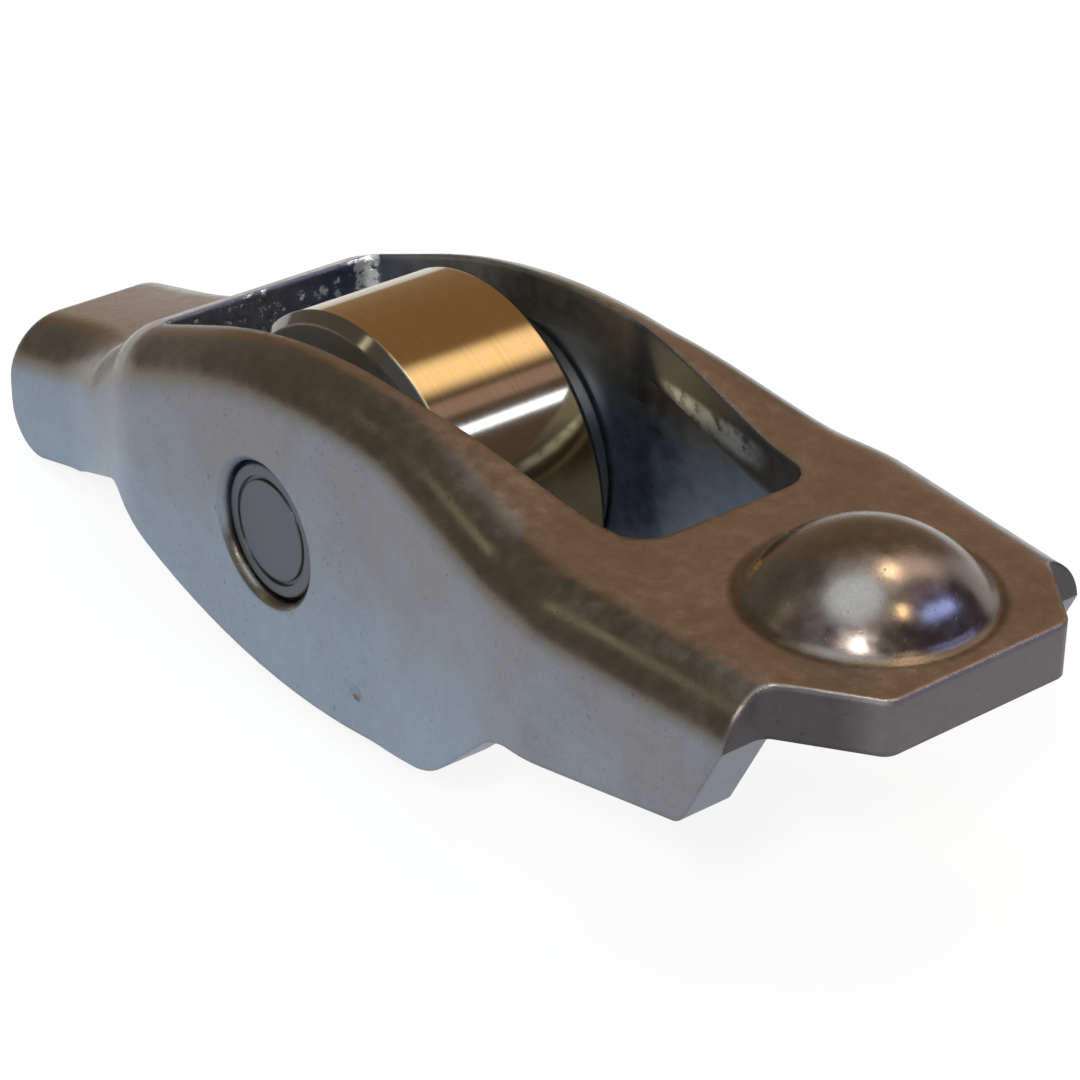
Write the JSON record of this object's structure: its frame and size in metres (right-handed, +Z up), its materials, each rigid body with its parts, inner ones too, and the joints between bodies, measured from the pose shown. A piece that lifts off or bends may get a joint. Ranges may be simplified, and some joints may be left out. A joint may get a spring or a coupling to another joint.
{
  "type": "rocker arm",
  "caption": "Roller finger follower: stamped steel rocker arm with a domed pivot socket, a cam roller on needle bearings and a crowned valve pad.",
  "frame": {"origin": "centre of the pivot ball that the socket end rocks on", "axes": "+X from the roller towards the socket end, along the arm; +Y along the roller's axle; +Z up, from the camshaft-side of the socket out through the top of its dome"},
  "size_m": [0.0619, 0.0204, 0.0191],
  "materials": {
    "sheet_steel": "satin, case hardened and tumbled",
    "axle_steel": "ground, staked ends",
    "roller_steel": "ground and polished",
    "washer_steel": "satin",
    "needle_steel": "polished"
  },
  "bodies": {
    "arm": {"arm_body": "sheet_steel", "axle_pin": "axle_steel", "side_washer_front": "washer_steel", "side_washer_back": "washer_steel"},
    "roller": {"cam_roller": "roller_steel"},
    "needle_set": {"needle_01": "needle_steel", "needle_02": "needle_steel", "needle_03": "needle_steel", "needle_04": "needle_steel", "needle_05": "needle_steel", "needle_06": "needle_steel", "needle_07": "needle_steel", "needle_08": "needle_steel", "needle_09": "needle_steel", "needle_10": "needle_steel", "needle_11": "needle_steel", "needle_12": "needle_steel", "needle_13": "needle_steel", "needle_14": "needle_steel", "needle_15": "needle_steel", "needle_16": "needle_steel"}
  },
  "joints": [
    {"name": "roller_spin", "type": "hinge", "parent": "arm", "child": "roller", "pos_m": [-0.0288, 0, -0.0046], "axis": [0, 1, 0], "continuous": true},
    {"name": "needle_travel", "type": "hinge", "parent": "arm", "child": "needle_set", "pos_m": [-0.0288, 0, -0.0046], "axis": [0, 1, 0], "continuous": true}
  ],
  "couplings": [
    {"joint": "needle_travel", "follows": "roller_spin", "ratio": 0.597}
  ]
}
